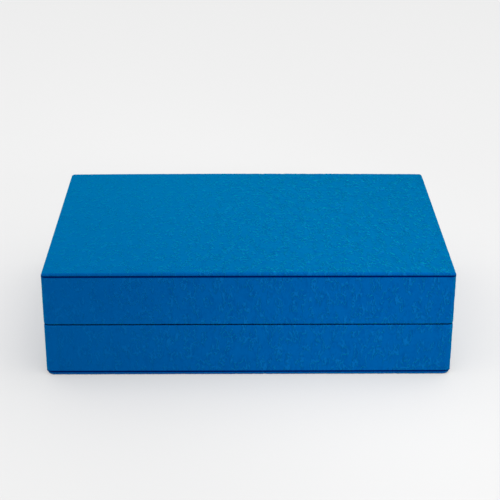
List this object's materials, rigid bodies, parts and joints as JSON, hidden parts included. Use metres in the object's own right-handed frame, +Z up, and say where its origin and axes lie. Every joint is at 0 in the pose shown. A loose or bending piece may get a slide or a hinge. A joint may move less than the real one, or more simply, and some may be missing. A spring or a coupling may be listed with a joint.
{
  "type": "archival box",
  "caption": "Leather-covered archival box that opens like a book: equal trays on hinged covers, located by a bevelled collar.",
  "frame": {"origin": "middle of the closed box's footprint, on the plane it rests on", "axes": "+X along the long side, -Y towards the fore edge that opens, +Y towards the spine, +Z up"},
  "size_m": [0.34, 0.231, 0.094],
  "materials": {
    "blue_leather": "soft sheen, wrinkled grain",
    "blue_cloth": "fine woven book cloth",
    "lining_paper": "matt laid paper",
    "grey_board": "matt grey board"
  },
  "bodies": {
    "base": {"base_cover_board": "grey_board", "base_cover_leather": "blue_leather", "base_levelling_card": "grey_board", "base_joint_leather": "blue_leather", "base_joint_cloth": "blue_cloth", "lower_tray_floor": "grey_board", "lower_front_wall": "grey_board", "lower_left_wall": "grey_board", "lower_right_wall": "grey_board", "lower_tray_leather": "blue_leather", "lower_floor_lining": "lining_paper", "collar_front_board": "grey_board", "collar_front_cloth": "blue_cloth", "collar_left_board": "grey_board", "collar_left_cloth": "blue_cloth", "collar_right_board": "grey_board", "collar_right_cloth": "blue_cloth"},
    "spine": {"spine_board": "grey_board", "spine_leather": "blue_leather", "spine_lining": "lining_paper"},
    "lid": {"top_cover_board": "grey_board", "top_cover_leather": "blue_leather", "top_levelling_card": "grey_board", "top_joint_leather": "blue_leather", "top_joint_cloth": "blue_cloth", "upper_tray_floor": "grey_board", "upper_front_wall": "grey_board", "upper_left_wall": "grey_board", "upper_right_wall": "grey_board", "upper_tray_leather": "blue_leather", "upper_floor_lining": "lining_paper", "upper_wall_lining": "lining_paper"}
  },
  "joints": [
    {"name": "spine_drop", "type": "hinge", "parent": "base", "child": "spine", "pos_m": [0, 0.1152, 0.0003], "axis": [-1, 0, 0], "range_deg": [0, 90], "deforming": ["base_joint_leather", "base_joint_cloth"]},
    {"name": "lid_hinge", "type": "hinge", "parent": "spine", "child": "lid", "pos_m": [0, 0.1152, 0.0937], "axis": [-1, 0, 0], "range_deg": [0, 90], "deforming": ["top_joint_leather", "top_joint_cloth"]}
  ]
}
